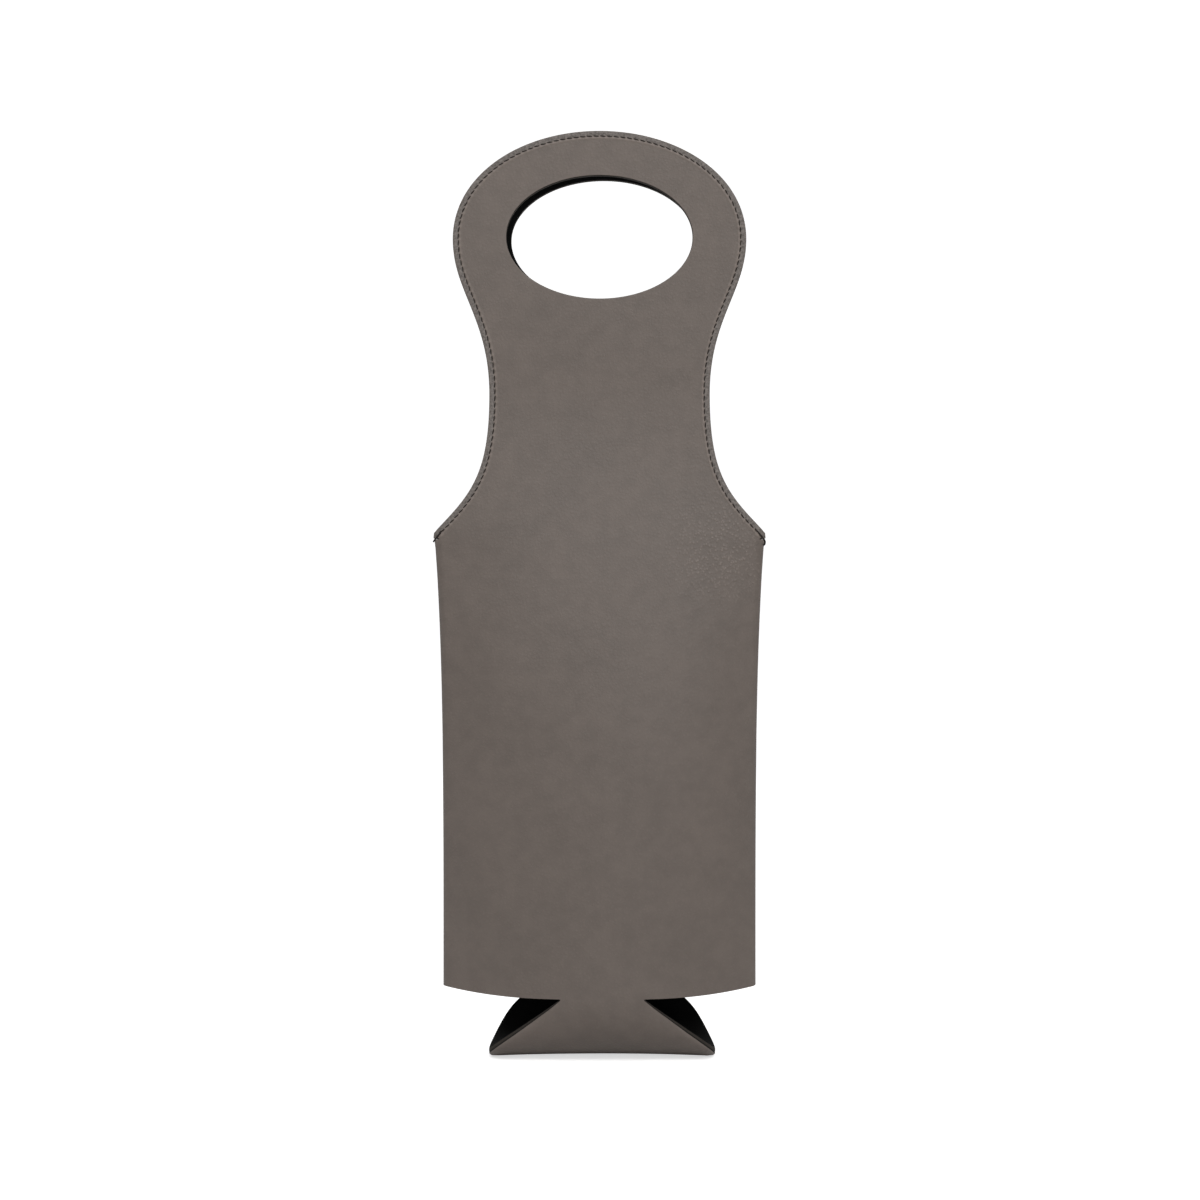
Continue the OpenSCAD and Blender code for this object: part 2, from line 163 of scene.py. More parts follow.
class Form:
    """Where a place on the flat blank lies in the carrier. A place is (u, v): u runs across from the
    middle, v up, with v equal to the height wherever the panels stand upright. All in millimetres."""

    taper_power = 1.7
    flare_power = 4
    shoulder_step = 0.5
    shoulder_angle = math.radians(45)
    front_cut_angle = math.radians(48)
    corner_rise = 16
    corner_gap = 1.4
    curve_fade = 6
    slot = 0.2  # radius of the slot that parts a shoulder from its side seam
    slot_depth = 1.1
    base_beside, base_widening = 0.3, 1.4
    fold_heights = (1, 20, 46)  # where a handle's fold starts, hinges and ends, above the side seams
    same = 1e-3
    tiny = 1e-9

    def __init__(self, sizes):
        for name in CarrierSizes.__annotations__:
            setattr(self, name, getattr(sizes, name) / MM)
        self.sheet_t = self.face_t + self.core_t + self.lining_t
        self.nose_r = self.roll_r + self.sheet_t / 2
        self.bottom_z = self.body_depth / 2
        self.seam_top_z = self.overall_h - self.handle_h
        self.flat_z = self.overall_h - self.flat_drop
        self.neck_z = self.overall_h - self.neck_drop
        self.head_z = self.overall_h - self.head_drop
        self.hole_z = self.overall_h - self.hole_drop
        self.bottom_half_depth = self.body_depth / 2 - self.sheet_t / 2
        self.handle_half_depth = self.handle_gap / 2 + self.sheet_t / 2
        self.base_r = self.bottom_half_depth
        self.base_reach = self.base_r * math.pi / 2
        self.base_v = self.bottom_z - self.base_reach
        self.back_neck_v = self.base_v - self.base_reach
        self.disc_r = math.hypot(self.base_reach, self.base_neck_w / 2)
        top = self.seam_top_z
        self.corner_start = self.panel_r(top) * math.sin(self.panel_angle(top))
        self.corner_end = self.shoulder_w / 2
        self.slot_u = self.panel_run(top) + self.slot_depth

    def half_depth(self, z):
        up = np.clip((z - self.bottom_z) / (self.flat_z - self.bottom_z), 0, 1)
        share = (1 + np.cos(np.pi * up**self.taper_power)) / 2
        return self.handle_half_depth + (self.bottom_half_depth - self.handle_half_depth) * share

    def roll_x(self, z):
        up = np.clip((z - self.bottom_z) / (self.seam_top_z - self.bottom_z), 0, 1)
        flare = self.shoulder_w / 2 - self.shoulder_step - self.bottom_w / 2
        return self.bottom_w / 2 + flare * up**self.flare_power - self.nose_r

    def panel_r(self, z):
        rise = self.half_depth(z) - self.nose_r
        return (self.roll_x(z) ** 2 + rise**2 - self.roll_r**2) / (2 * (rise - self.roll_r))

    def panel_angle(self, z):
        return np.arcsin(self.roll_x(z) / (self.panel_r(z) - self.roll_r))

    def panel_run(self, z):
        """Way over the panel from its middle to where its edge starts to roll."""
        return self.panel_r(z) * self.panel_angle(z)

    def side_run(self, z):
        """Way over the panel from its middle to the end of its seam allowance."""
        return self.panel_run(z) + self.roll_r * (np.pi - self.panel_angle(z)) + self.seam_allowance

    def curvature(self, z):
        up = np.clip((z - self.seam_top_z) / (self.flat_z - self.seam_top_z), 0, 1)
        return (1 - up) ** 2 / self.panel_r(self.seam_top_z)

    @staticmethod
    def sag(x, curve):
        return curve * x * x / (1 + np.sqrt(np.clip(1 - (curve * x) ** 2, 0, 1)))

    def middle_y(self, x, z):
        """Middle of the laminate above the side seams, with its corners bent in at the seam's top."""
        t = np.clip((x - self.corner_start) / (self.corner_end - self.corner_start), 0, 1)
        fade = (1 - np.clip((z - self.seam_top_z) / self.corner_rise, 0, 1)) ** 2
        pinch = t * t * (3 - 2 * t) * fade
        free = self.sag(x, self.curvature(z)) - self.half_depth(z)
        return free * (1 - pinch) - (self.sheet_t / 2 + self.corner_gap) * pinch

    def base_half_w(self, along):
        """Half width of the base at a distance in front of its middle: a disc, cut straight from
        the ends of its front neck."""
        disc_w = np.sqrt(self.disc_r**2 - along**2)
        cut_w = self.front_neck_w / 2 + (self.base_reach - along) * math.tan(self.front_cut_angle)
        share = np.clip(0.5 + (cut_w - disc_w) / (2 * self.cut_blend), 0, 1)
        return cut_w + (disc_w - cut_w) * share - self.cut_blend * share * (1 - share)

    def bottom_rise(self, x):
        """How far a panel's bottom edge lies above the necks."""
        past = np.maximum(0, np.abs(x) - self.base_neck_w / 2)
        return self.edge_bow * (2 * past / (self.bottom_w - self.base_neck_w)) ** 2

    def on_base(self, u, v, out):
        turn = np.pi - (self.bottom_z - v) / self.base_r
        sag = self.sag(u, 1 / self.panel_r(self.bottom_z)) * np.cos(turn) ** self.curve_fade
        share = np.clip((u - self.base_shift) / self.disc_r, -1, 1)
        arch = self.base_arch * (1 - share**2) * np.sin(turn) ** 2
        r = self.base_r + out - sag - arch
        return u, r * np.cos(turn), self.bottom_z - r * np.sin(turn)

    def on_body(self, u, v, out):
        side, w = np.where(u < 0, -1.0, 1.0), np.abs(u)
        z = np.clip(v, self.bottom_z, self.seam_top_z)
        r, angle, roll_x = self.panel_r(z), self.panel_angle(z), self.roll_x(z)
        run = r * angle
        on_arc = w < run
        turn = np.where(on_arc, w / r, np.minimum(angle + (w - run) / self.roll_r, np.pi))
        past = np.maximum(0, w - run - self.roll_r * (np.pi - angle))
        x = np.where(on_arc, r * np.sin(turn), roll_x + self.roll_r * np.sin(turn) - past)
        arc_y = r * (1 - np.cos(turn)) - self.half_depth(z)
        y = np.where(on_arc, arc_y, -self.nose_r - self.roll_r * np.cos(turn))
        return side * (x + np.sin(turn) * out), y - np.cos(turn) * out, v

    def on_handle(self, u, v, out):
        side, w = np.where(u < 0, -1.0, 1.0), np.abs(u)
        curve = self.curvature(v)
        x = np.where(curve * w > 1e-6, np.sin(curve * w) / np.maximum(curve, self.tiny), w)
        slope = self.middle_slope(x, v)
        out = out / np.sqrt(1 + slope**2)
        return side * (x + slope * out), self.middle_y(x, v) - out, v

    def place(self, u, v, out):
        """Points of the carrier in millimetres, for places on the blank and the way outwards from
        the middle of the laminate."""
        below = self.bottom_z - v
        base_half_w = self.front_neck_w / 2 + self.base_beside + self.base_widening * below
        in_base = (below > self.same) & (np.abs(u - self.base_shift) < base_half_w)
        pick = [in_base, v <= self.seam_top_z]
        formed = [self.on_base(u, v, out), self.on_body(u, v, out), self.on_handle(u, v, out)]
        return np.stack([np.select(pick, [a, b], c) for a, b, c in zip(*formed)], axis=1)

    def middle_slope(self, x, z, step=0.1):
        return (self.middle_y(x + step, z) - self.middle_y(np.abs(x - step), z)) / (2 * step)

    def unroll(self, x, z):
        """Way across the blank to a point of the outline above the seams, so that the outermost of
        the laminate's two surfaces reaches it."""
        middle, rounds = x, 12
        for _ in range(rounds):
            slope = self.middle_slope(middle, z)
            middle = x - np.maximum(0, slope) * self.sheet_t / 2 / np.sqrt(1 + slope**2)
        curve = self.curvature(z)
        run = np.arcsin(curve * middle) / np.maximum(curve, self.tiny)
        return np.where(curve > self.tiny, run, middle)

    def flatten(self, line):
        """A line of the formed handle, seen from the front, on the blank."""
        return np.column_stack([self.unroll(line[:, 0], line[:, 1]), line[:, 1]])


def bezier(p, t):
    t = t[:, None]
    return (1 - t) ** 3 * p[0] + 3 * (1 - t) ** 2 * t * p[1] + 3 * (1 - t) * t**2 * p[2] + t**3 * p[3]


def spaced(points, step):
    """The same line with its points about one step apart."""
    way = np.concatenate([[0], np.cumsum(np.linalg.norm(np.diff(points, axis=0), axis=1))])
    count = max(1, round(way[-1] / step))
    at = np.linspace(0, way[-1], count + 1)
    return np.stack([np.interp(at, way, points[:, i]) for i in range(2)], axis=1)


def inward(points):
    """Directions to the left of a line's way, which is into the panel for the right edge."""
    d = np.gradient(points, axis=0)
    d /= np.linalg.norm(d, axis=1)[:, None]
    return np.stack([-d[:, 1], d[:, 0]], axis=1)


def nearest_tree(spots):
    """A tree that finds the nearest of some spots."""
    tree = kdtree.KDTree(len(spots))
    for i, spot in enumerate(spots):
        tree.insert(spot, i)
    tree.balance()
    return tree


class Edge:
    """The right edge of the blank from shoulder to top, and the stitch line beside it."""

    pulls = (22, 34, 32, 22, 26, 34)  # how far the control points of the three curves reach
    run_out = 3
    step = 0.1

    def __init__(self, form, stitching):
        shoulder = np.array([form.shoulder_w / 2, form.seam_top_z + form.shoulder_lip])
        neck = np.array([form.neck_w / 2, form.neck_z])
        head = np.array([form.head_w / 2, form.head_z])
        top = np.array([0, form.overall_h])
        lean = np.array([-math.sin(form.shoulder_angle), math.cos(form.shoulder_angle)])
        up, across = np.array([0, 1]), np.array([1, 0])
        a, b, c, d, e, f = self.pulls
        curves = [
            [shoulder, shoulder + a * lean, neck - b * up, neck],
            [neck, neck + c * up, head - d * up, head],
            [head, head + e * up, top + f * across, top],
        ]
        t = np.linspace(0, 1, 400)
        line = np.concatenate([bezier(p, t)[: None if p is curves[-1] else -1] for p in curves])
        self.line = spaced(form.flatten(line), self.step)
        self.inset = stitching.inset / MM
        line = np.concatenate([[shoulder - self.run_out * lean], line])
        beside = spaced(line, self.step)
        beside += inward(beside) * self.inset
        self.stitched = form.flatten(beside[beside[:, 1] > form.seam_top_z + form.slot])[::-1]
        steps = np.linalg.norm(np.diff(self.stitched, axis=0), axis=1)
        self.way = np.concatenate([[0], np.cumsum(steps)])
        self.into = -inward(self.stitched)
        self.tree = nearest_tree([(x, y, 0) for x, y in self.stitched])
        self.pitch, self.stitch_len = stitching.pitch / MM, stitching.stitch_len / MM
        self.stitches = int((self.way[-1] - self.stitch_len) / self.pitch)

    def near(self, u, v, reach=7.0):
        """Distance to the cut edge, told from the stitch line, and the way along that line from
        the top."""
        distance, along = np.full(len(u), FAR), np.zeros(len(u))
        for i in np.nonzero(v > self.line[0, 1] - reach)[0]:
            spot, k, d = self.tree.find((abs(u[i]), v[i], 0))
            if d < reach:
                side = np.dot((abs(u[i]) - spot[0], v[i] - spot[1]), self.into[k])
                distance[i], along[i] = max(0, self.inset + side), self.way[k]
        return distance, along

    def at(self, way, half_step=0.5):
        """Place and direction of the stitch line on the right, a way down from the top."""
        ways = way, way + half_step, way - half_step
        place, ahead, behind = ([np.interp(w, self.way, x) for x in self.stitched.T] for w in ways)
        return np.array(place), math.atan2(ahead[0] - behind[0], ahead[1] - behind[1])


class Relief:
    """How far stitching, cutting and use move the laminate's two surfaces, in millimetres."""

    groove_w = 0.42
    rim_w = 1.2
    rim_drop = 0.32
    base_rim_drop = 0.95
    base_rim_fade = 8
    pucker_inset, pucker_w = 0.62, 0.36
    puff, puff_w = 0.07, 0.5
    bridge = 0.7  # share of the groove that is missing at a needle hole
    lining_groove, lining_rim = 0.18, 0.4

    def __init__(self, form, edge, stitching, phase):
        self.form, self.edge, self.phase = form, edge, phase
        self.groove, self.pucker = stitching.groove / MM, stitching.pucker / MM

    def wave(self, u, v):
        """The slow waves that a soft laminate takes, the same for all its layers."""
        a, p = self.form, self.phase
        waves = (
            0.16 * np.sin(u / 23 + p) * np.sin(v / 37 + 2 * p)
            + 0.10 * np.sin(u / 11 - v / 29 + 3 * p)
            + 0.06 * np.sin(v / 13 + u / 31 + 5 * p)
        )
        calm = np.clip((a.panel_run(a.bottom_z) - np.abs(u)) / 12, 0, 1)
        low = np.clip((v - a.base_v) / 20, 0, 1)
        return waves * calm * low

    def layers(self, u, v):
        """Drop of the face and of the lining towards the middle of the laminate, the distance to
        the stitched edge, and where a highlight is painted beside the needle holes and along the ridge
        inside the stitching."""
        e, s = self.edge.near(u, v)
        turn = 2 * np.pi * s / self.edge.pitch
        hole = (1 + np.cos(turn)) / 2
        line = np.exp(-(((e - self.edge.inset) / self.groove_w) ** 2))
        inner = np.exp(-(((e - self.edge.inset - self.pucker_inset) / self.pucker_w) ** 2))
        band = np.exp(-(((e - self.edge.inset / 2) / self.puff_w) ** 2))
        rim = self.rim_drop * np.clip(1 - e / self.rim_w, 0, 1) ** 2
        groove = line * (1 - self.bridge * hole)
        a = self.form
        half_w = a.base_half_w(np.clip(v - a.base_v, -a.base_reach, a.base_reach))
        beside = np.maximum(0, half_w - np.abs(u - a.base_shift)) * math.cos(a.front_cut_angle)
        base_rim = np.where(v < a.bottom_z, np.clip(1 - beside / self.rim_w, 0, 1) ** 2, 0)
        rim += self.base_rim_drop * base_rim * np.clip((a.bottom_z - v) / self.base_rim_fade, 0, 1)
        face = self.groove * groove - self.puff * band + rim - self.pucker * inner * (0.5 + 0.5 * hole)
        lining = self.lining_groove * groove + self.lining_rim * rim
        # The last value tells where a highlight is painted: along the pucker inside the stitching and
        # at the needle holes.
        return face, lining, e, inner * (0.35 + 0.65 * hole) + 0.5 * line * hole

    def carry(self, u, v, depth):
        """Points of the carrier in metres for places on the blank at a depth below the face, the
        distance to the stitched edge and the painted highlight beside the needle holes."""
        a = self.form
        face, lining, e, stretch = self.layers(u, v)
        share = np.clip(depth / a.sheet_t, 0, 1)
        out = a.sheet_t / 2 - depth - face * (1 - share) + lining * share + self.wave(u, v)
        return a.place(u, v, out) * MM, e, stretch


# The flat blank. While it is drawn, a face's material number tells whether grid lines may cut it.

UNCUT, DONE = 0, 1
GRID = 2.5
GRID_COLUMNS = 31
RIM_STEP = 0.47
ROWS_START = 5.0
ROW_WIDTHS = (0.9, 0.4, 0.35, 0.3, 0.25, 0.25, 0.3, 0.35, 0.4, 0.5, 0.6)
RIM_ROW = 0.45
BOTTOM_STEP, SLOT_STEP, SHOULDER_STEP = 1.5, 1.2, 0.6  # from point to point of the outline
CLEAR = 0.3  # least way from such a point to a corner
SHARP_ANGLE = math.radians(50)


def chain(bm, verts):
    """Edges from each vertex to the next."""
    return [bm.edges.get(pair) or bm.edges.new(pair) for pair in zip(verts, verts[1:])]


def draw(bm, points):
    return [bm.verts.new((x, y, 0)) for x, y in points]


def extrude_line(bm, verts, edges):
    """Vertices in the same places, joined to the old ones by new faces on the edges."""
    made = bmesh.ops.extrude_edge_only(bm, edges=edges)["geom"]
    fresh = {tuple(v.co): v for v in made if isinstance(v, bmesh.types.BMVert)}
    return [fresh[tuple(v.co)] for v in verts]


def base_outline(form, hand):
    """One side of the base, from its end at the back panel to the small round at its front neck."""
    a, fillet, turn = form, 0.25, form.front_cut_angle
    aside = hand * a.base_shift
    centre_x = aside + a.front_neck_w / 2 + fillet / math.tan((math.pi / 2 - turn) / 2)
    centre_v = a.bottom_z - fillet
    reach = np.linspace(-a.base_reach, a.base_reach - fillet - fillet * math.sin(turn), 76)[:-1]
    points = list(zip(aside + a.base_half_w(reach), a.base_v + reach))
    for angle in np.linspace(math.pi + turn, math.pi / 2, 6):
        points.append((centre_x + fillet * math.cos(angle), centre_v + fillet * math.sin(angle)))
    return points


def lower_outline(side, hand):
    """One side of the blank, left or right by hand, from its middle at the bottom up to the corner
    of the shoulder."""
    a = side.form
    points = base_outline(a, hand) if side.front else [(a.base_neck_w / 2, a.bottom_z)]
    bottom = float(a.side_run(a.bottom_z))
    first, last = math.ceil(points[-1][0] + CLEAR), bottom - BOTTOM_STEP / 2
    across = np.append(np.arange(first, last, BOTTOM_STEP), bottom)
    edge_x = a.on_body(across, np.full(len(across), a.bottom_z), 0)[0]
    points += list(zip(across, a.bottom_z + a.bottom_rise(edge_x)))
    low, high = a.seam_top_z - a.slot, a.seam_top_z + a.slot
    heights = np.linspace(points[-1][1], low, 60)[1:]
    points += list(zip(a.side_run(heights), heights))
    points += [(x, low) for x in np.arange(points[-1][0] - 0.8, a.slot_u + CLEAR, -SLOT_STEP)]
    for turn in np.linspace(-math.pi / 2, -3 * math.pi / 2, 7):
        points.append((a.slot_u + a.slot * math.cos(turn), a.seam_top_z + a.slot * math.sin(turn)))
    end_heights = np.linspace(high, a.seam_top_z + a.shoulder_lip, 6)[:-1]
    ends = a.unroll(np.full(len(end_heights), a.shoulder_w / 2), end_heights)
    along = np.arange(a.slot_u + SHOULDER_STEP, ends[0] - CLEAR, SHOULDER_STEP)
    points += [(x, high) for x in along]
    points += list(zip(ends, end_heights))
    return np.array(points) * (hand, 1)


def hole_point(side, turn):
    a = side.form
    across, down = (0, 0) if side.front else (a.back_hole_shift, a.back_hole_drop)
    return across + a.hole_w / 2 * math.sin(turn), a.hole_z - down + a.hole_h / 2 * math.cos(turn)


def rows_along_edge(bm, row, directions):
    """Rows of narrow faces from a row of vertices inwards. Gives the last row and the edges between
    the rows at their two ends."""
    rungs = [[], []]
    for width in ROW_WIDTHS:
        following = extrude_line(bm, row, chain(bm, row))
        for end in (0, -1):
            rungs[end].append(bm.edges.get((row[end], following[end])))
        row = following
        for v, d in zip(row, directions):
            v.co += Vector((d[0], d[1], 0)) * width
    for face in bm.faces:
        face.material_index = DONE
    return row, rungs


def cut_lines(bm, axis, places, inside=None):
    """Cuts the faces that may be cut, or only those inside, along straight lines across the blank."""
    normal = Vector((1, 0, 0)) if axis == 0 else Vector((0, 1, 0))
    for place in places:
        faces = [f for f in bm.faces if f.material_index == UNCUT]
        if inside:
            faces = [f for f in faces if inside(f.calc_center_median())]
        edges = dict.fromkeys(e for f in faces for e in f.edges)
        geom = [*faces, *edges, *dict.fromkeys(v for f in faces for v in f.verts)]
        bmesh.ops.bisect_plane(bm, geom=geom, dist=0.03, plane_co=normal * place, plane_no=normal)


def cut_grid(bm, form, bottom):
    """Grid lines over the blank, finer on the rolled sides and finest in the shoulders' corners."""
    a, run = form, form.panel_run(form.seam_top_z)
    sleeve_h = a.seam_top_z - a.bottom_z
    roll_parts, roll_w = 4, 10
    corner_parts, corner_w, corner_h = 8, 6, 10

    def finer(parts, start, stop):
        """Lines at a part of the grid, apart from those that the grid has."""
        step = GRID / parts
        return [step * i for i in range(round(start / step), round(stop / step)) if i % parts]

    def on_roll(spot):
        return run - GRID < abs(spot.x) < run + roll_w and a.bottom_z < spot.y < a.seam_top_z

    def in_corner(spot):
        return abs(spot.x) > run - corner_w and a.seam_top_z < spot.y < a.seam_top_z + corner_h

    cut_lines(bm, 0, [GRID * i for i in range(-GRID_COLUMNS, GRID_COLUMNS + 1) if i])
    rows = range(round((bottom - a.bottom_z) / GRID) + 1, int((a.overall_h - a.bottom_z) / GRID))
    cut_lines(bm, 1, [a.bottom_z + GRID * i for i in rows])
    for inside, lines in (
        (on_roll, finer(roll_parts, run - 1, run + roll_w - 1)),
        (in_corner, finer(corner_parts, run - corner_w, run + 5)),
    ):
        cut_lines(bm, 0, lines + [-x for x in lines], inside)
    lines = finer(corner_parts, sleeve_h, sleeve_h + corner_h)
    cut_lines(bm, 1, [a.bottom_z + z for z in lines], in_corner)


def flat_blank(side):
    """The blank as a flat sheet of faces: rows of narrow faces run along the stitched edge, and a
    grid of lines crosses the rest."""
    bm = bmesh.new()
    rim_line = spaced(side.edge.line, RIM_STEP)
    first = round(ROWS_START / RIM_STEP)
    right_low, left_low = (lower_outline(side, hand) for hand in (1, -1))
    middle = draw(bm, [(0, side.joint_v)])[0]
    right = draw(bm, np.concatenate([right_low, rim_line]))
    left = draw(bm, np.concatenate([left_low, rim_line[:-1] * (-1, 1)]))
    right_begin, left_begin = len(right_low) + first, len(left_low) + first
    into = inward(rim_line)[first:]
    directions = np.concatenate([into, into[:-1][::-1] * (-1, 1)])
    row, rungs = rows_along_edge(bm, right[right_begin:] + left[left_begin:][::-1], directions)
    turns = np.linspace(0, math.pi, 75)
    right_hole = draw(bm, [hole_point(side, t) for t in turns])
    left_hole = draw(bm, [hole_point(side, t) for t in -turns[1:-1]])
    left_hole = [right_hole[0], *left_hole, right_hole[-1]]
    half = len(row) // 2
    for low, rung, along, hole in (
        (right[: right_begin + 1], rungs[0], row[: half + 1], right_hole),
        (left[: left_begin + 1], rungs[1], row[half:][::-1], left_hole),
    ):
        border = chain(bm, [middle, *low]) + rung + chain(bm, along) + chain(bm, hole)
        border += chain(bm, [row[half], hole[0]]) + chain(bm, [hole[-1], middle])
        bmesh.ops.edgeloop_fill(bm, edges=border)
    bmesh.ops.recalc_face_normals(bm, faces=bm.faces)
    if bm.faces[0].normal.z < 0:
        bmesh.ops.reverse_faces(bm, faces=bm.faces)
    rim = bmesh.ops.inset_region(
        bm, faces=bm.faces[:], thickness=RIM_ROW, use_boundary=True, use_even_offset=True
    )["faces"]
    for face in rim:
        face.material_index = DONE
    cut_grid(bm, side.form, side.joint_v)
    for face in bm.faces:
        face.material_index = 0
    return bm


class Side:
    """The front with the base, or the back: its form, its stitched edge and its flat blank."""

    def __init__(self, name, scene):
        self.name, self.front = name, name == "front"
        self.out = -1 if self.front else 1
        self.form = form = Form(scene.carrier_sizes)
        self.edge = Edge(form, scene.carrier_stitching)
        self.relief = Relief(form, self.edge, scene.carrier_stitching, 0.7 if self.front else 2.9)
        self.joint_v = form.back_neck_v if self.front else form.bottom_z
        self.blank = flat_blank(self)
        self.area = sum(f.calc_area() for f in self.blank.faces) * MM * MM
        self.cut_edges = nearest_tree(self.cut_edge_points(0.3))

    def cut_edge_points(self, step):
        """Points at most a step apart along every cut edge of the blank."""
        spots = []
        for e in self.blank.edges:
            if len(e.link_faces) == 1:
                a, b = (v.co for v in e.verts)
                count = max(1, math.ceil((b - a).length / step))
                spots += [a.lerp(b, i / count) for i in range(count)]
        return spots


drawn = {}


def both_sides(scene):
    """Front and back. They are drawn again only when a size has changed."""
    groups = (scene.carrier_sizes, CarrierSizes), (scene.carrier_stitching, CarrierStitching)
    key = tuple(getattr(group, name) for group, kind in groups for name in kind.__annotations__)
    if key not in drawn:
        drawn.clear()
        drawn[key] = [Side(name, scene) for name in ("front", "back")]
    return drawn[key]


def flat_layer(side, thickness, wall_cuts, bulge, rounding):
    """One layer of the laminate, still flat, with rounded rims and, on the foam, bulging walls.
    The rim stays sharp where this blank meets the other one."""
    bm = side.blank.copy()
    geom = bm.faces[:] + bm.edges[:] + bm.verts[:]
    made = bmesh.ops.extrude_face_region(bm, geom=geom, use_keep_orig=True)["geom"]
    under = [v for v in made if isinstance(v, bmesh.types.BMVert)]
    bmesh.ops.translate(bm, verts=under, vec=(0, 0, -thickness))
    bmesh.ops.recalc_face_normals(bm, faces=bm.faces)
    walls = [e for e in bm.edges if abs(e.verts[0].co.z - e.verts[1].co.z) > thickness / 2]
    if wall_cuts:
        bmesh.ops.subdivide_edges(bm, edges=walls, cuts=wall_cuts, use_grid_fill=True)
        bm.normal_update()
        for v in [v for v in bm.verts if -thickness + 1e-4 < v.co.z < -1e-4]:
            v.co += v.normal * bulge

    def in_joint(v):
        near = abs(v.co.y - side.joint_v) < 1e-3
        return near and abs(v.co.x) < side.form.base_neck_w / 2 + 1e-3

    def open_rim(e):
        if len(e.link_faces) != 2 or abs(e.link_faces[0].normal.z - e.link_faces[1].normal.z) < 0.5:
            return False
        return not all(in_joint(v) for v in e.verts)

    bmesh.ops.bevel(
        bm, geom=[e for e in bm.edges if open_rim(e)], offset=rounding, offset_type="OFFSET",
        segments=3, profile=0.5, affect="EDGES", material=-1, clamp_overlap=True,
    )
    bmesh.ops.recalc_face_normals(bm, faces=bm.faces)
    for face in bm.faces:
        face.material_index = 0 if face.normal.z > 0.3 else 1
    return bm


def mesh_of(name, bm):
    mesh = bpy.data.meshes.new(name)
    bm.to_mesh(mesh)
    bm.free()
    return mesh


def formed_piece(name, bm, side, near_edges=False):
    """Forms flat geometry into the carrier and keeps its flat places for the materials, and the
    distances to its edges where they show. Flat z is height above the laminate's face."""
    bm.normal_update()
    if not side.front:
        bmesh.ops.reverse_faces(bm, faces=bm.faces)
    bmesh.ops.triangulate(bm, faces=[f for f in bm.faces if len(f.verts) > 4], ngon_method="BEAUTY")
    mesh = mesh_of(name, bm)
    co = np.empty(3 * len(mesh.vertices), np.float32)
    mesh.vertices.foreach_get("co", co)
    u, v, height = co.reshape(-1, 3).astype(float).T
    points, edge_distance, stretch = side.relief.carry(u, v, -height)
    points[:, 1] *= -side.out
    mesh.vertices.foreach_set("co", points.astype(np.float32).ravel())
    store(mesh, "blank", "FLOAT_VECTOR", np.stack([u, v, -height], axis=1) * MM)
    if near_edges:
        store(mesh, "edge", "FLOAT", edge_distance * MM)
        store(mesh, "stretch", "FLOAT", stretch)
        distance = [min(FAR, side.cut_edges.find((x, y, 0))[2]) for x, y in zip(u, v)]
        store(mesh, "rim", "FLOAT", np.array(distance) * MM)
    mesh.update()
    return piece(name, mesh)


def store(mesh, name, kind, values):
    attribute = mesh.attributes.new(name, kind, "POINT")
    field = "vector" if kind == "FLOAT_VECTOR" else "value"
    attribute.data.foreach_set(field, values.astype(np.float32).ravel())


def piece(name, mesh):
    mesh.shade_smooth()
    mesh.set_sharp_from_angle(angle=SHARP_ANGLE)
    obj = bpy.data.objects.new(name, mesh)
    bpy.context.scene.collection.objects.link(obj)
    return obj


# Threads


def stitch_shape(stitch_len, thread_r):
    """One stitch along Y: a short thick thread whose two ends dive into the needle holes."""
    tuck, flatness, dive = 0.3, 0.9, 1.1 * thread_r
    bm = bmesh.new()
    bmesh.ops.create_uvsphere(bm, u_segments=8, v_segments=7, radius=1)
    bmesh.ops.rotate(bm, verts=bm.verts, cent=(0, 0, 0), matrix=Matrix.Rotation(math.pi / 2, 3, "X"))
    strand = bm.verts.layers.float_vector.new("thread")
    for v in bm.verts:
        along, girth = v.co.y, math.hypot(v.co.x, v.co.z)
        full = math.sqrt(max(0, 1 - min(1, abs(along)) ** 4))
        spread = thread_r * full / girth if girth > 1e-6 else 0
        v[strand] = (along * stitch_len / 2 * MM, v.co.x / max(girth, 1e-6), v.co.z / max(girth, 1e-6))
        height = v.co.z * spread * flatness - dive * along**4
        v.co = (v.co.x * spread, along * (stitch_len / 2 + tuck), height)
    return mesh_of("stitch", bm)


def lay_stitches(name, shape, places, side):
    """Copies of one stitch on the flat blank, formed with it. A place is (u, v, angle, height, over)
    where over is False for a stitch on the lining side."""
    thread_between = 0.0017
    bm = bmesh.new()
    over_turn = Matrix.Rotation(math.pi, 4, "Y")
    for i, (u, v, angle, height, over) in enumerate(places):
        start = len(bm.verts)
        bm.from_mesh(shape)
        bm.verts.ensure_lookup_table()
        fresh = bm.verts[start:]
        strand = bm.verts.layers.float_vector["thread"]
        for vert in fresh:
            vert[strand].x += i * thread_between
        turn = Matrix.Rotation(-angle, 4, "Z") @ (Matrix.Identity(4) if over else over_turn)
        bmesh.ops.transform(bm, matrix=Matrix.Translation((u, v, height)) @ turn, verts=fresh)
    return formed_piece(name, bm, side)


